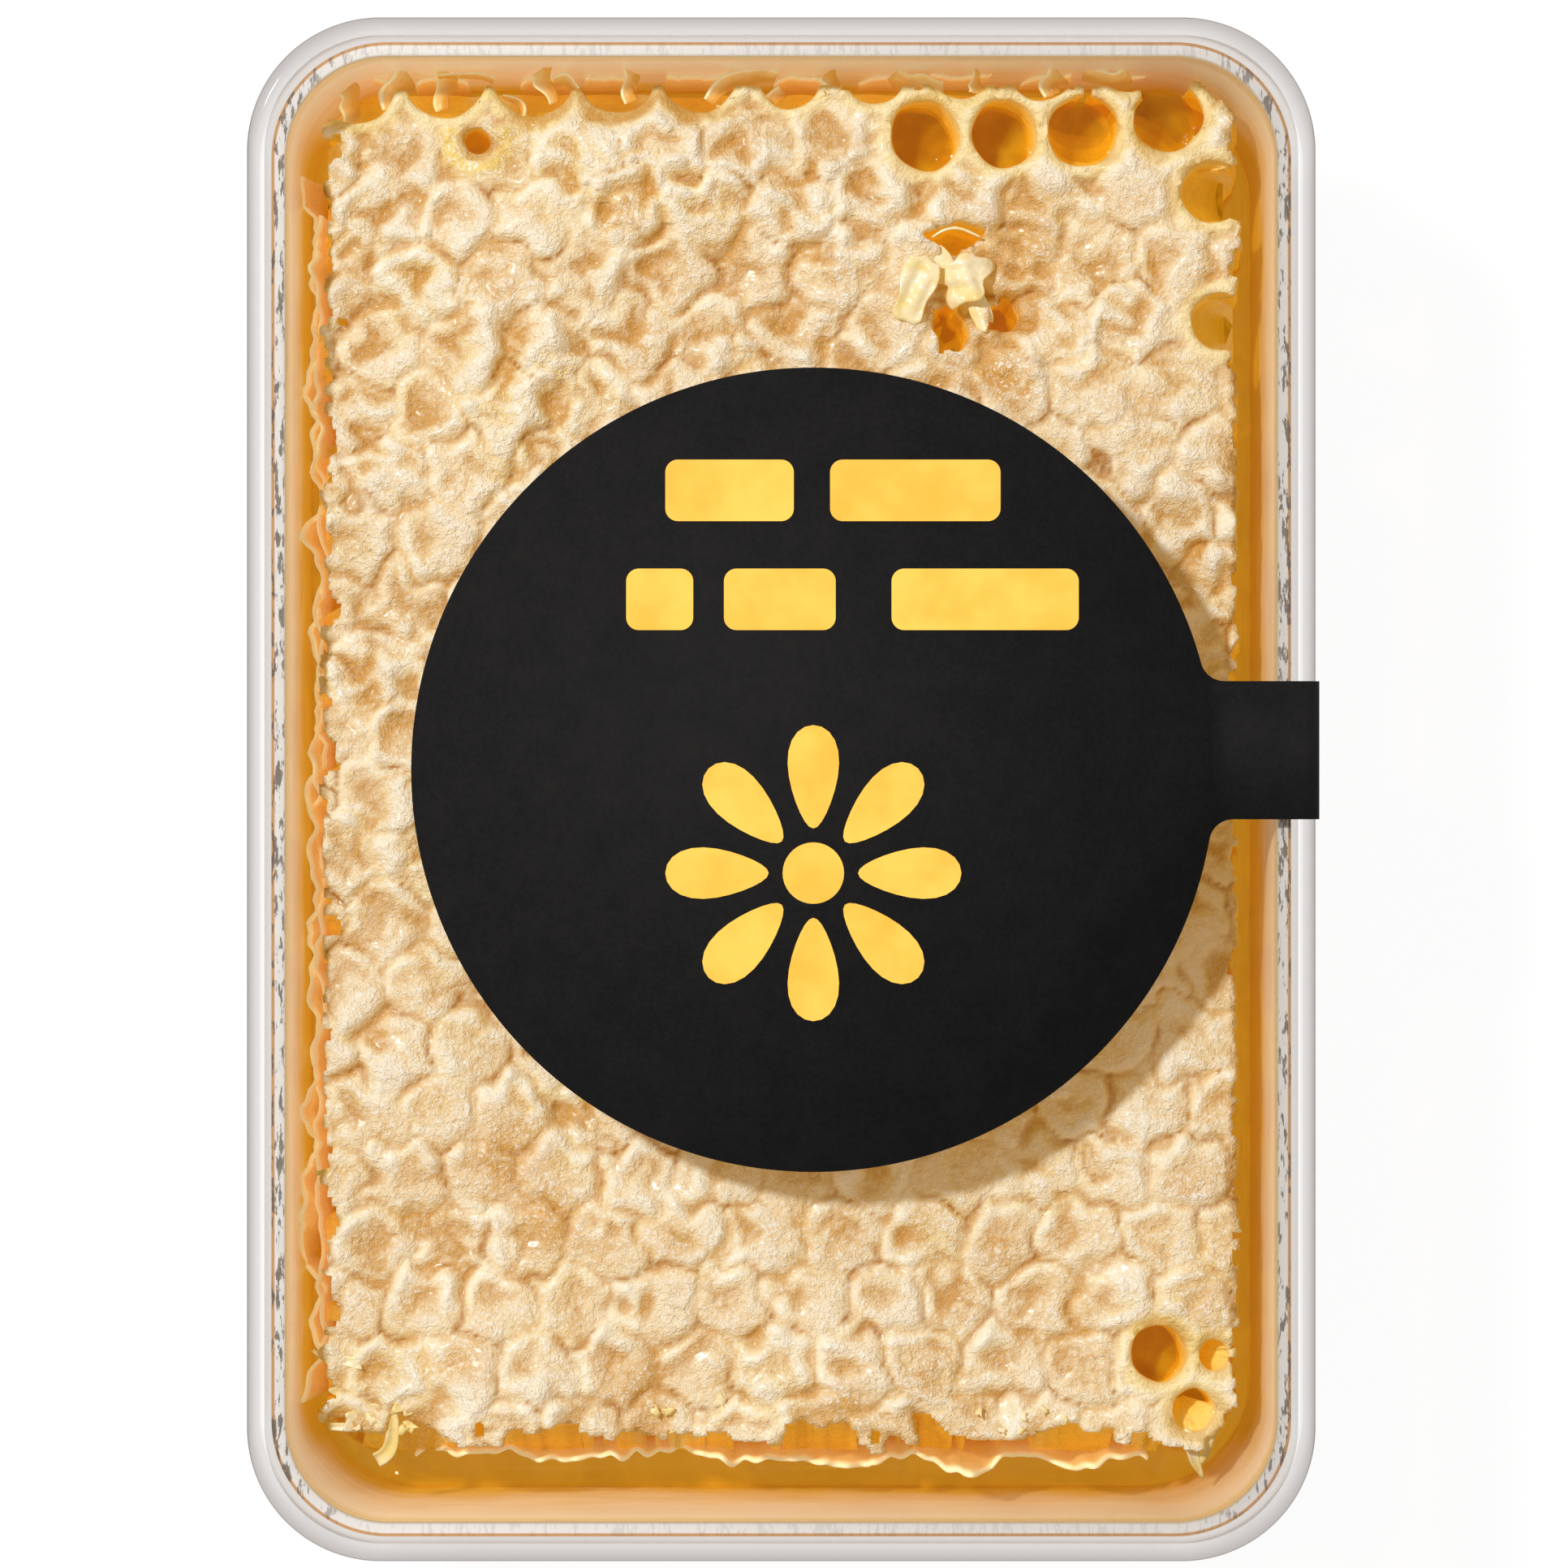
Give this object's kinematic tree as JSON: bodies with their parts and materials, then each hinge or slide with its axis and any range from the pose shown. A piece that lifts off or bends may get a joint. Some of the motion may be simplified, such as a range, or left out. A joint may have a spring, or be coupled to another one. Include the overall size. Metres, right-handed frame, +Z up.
{
  "type": "boxed honeycomb piece",
  "caption": "Cut slab of capped comb honey in a shut clear box, honey pooled round it, with a round dark label on the lid and a tab folded over one side.",
  "frame": {"origin": "middle of the tray's flat underside", "axes": "+Y along the long side towards the edge with the cut open cells, +X towards the side that the label's tab folds over, +Z up through the lid"},
  "size_m": [0.0771, 0.1108, 0.0364],
  "materials": {
    "tray_plastic": "clear moulded plastic, glossy",
    "lid_plastic": "clear moulded plastic, glossy",
    "label_paper": "matte black paper with amber print",
    "wax": "pale beeswax caps and walls, satin",
    "honey": "clear amber honey, wet gloss"
  },
  "bodies": {
    "root": {"tray": "tray_plastic", "lid": "lid_plastic", "label": "label_paper", "comb": "wax", "honey_pool": "honey"}
  },
  "joints": []
}
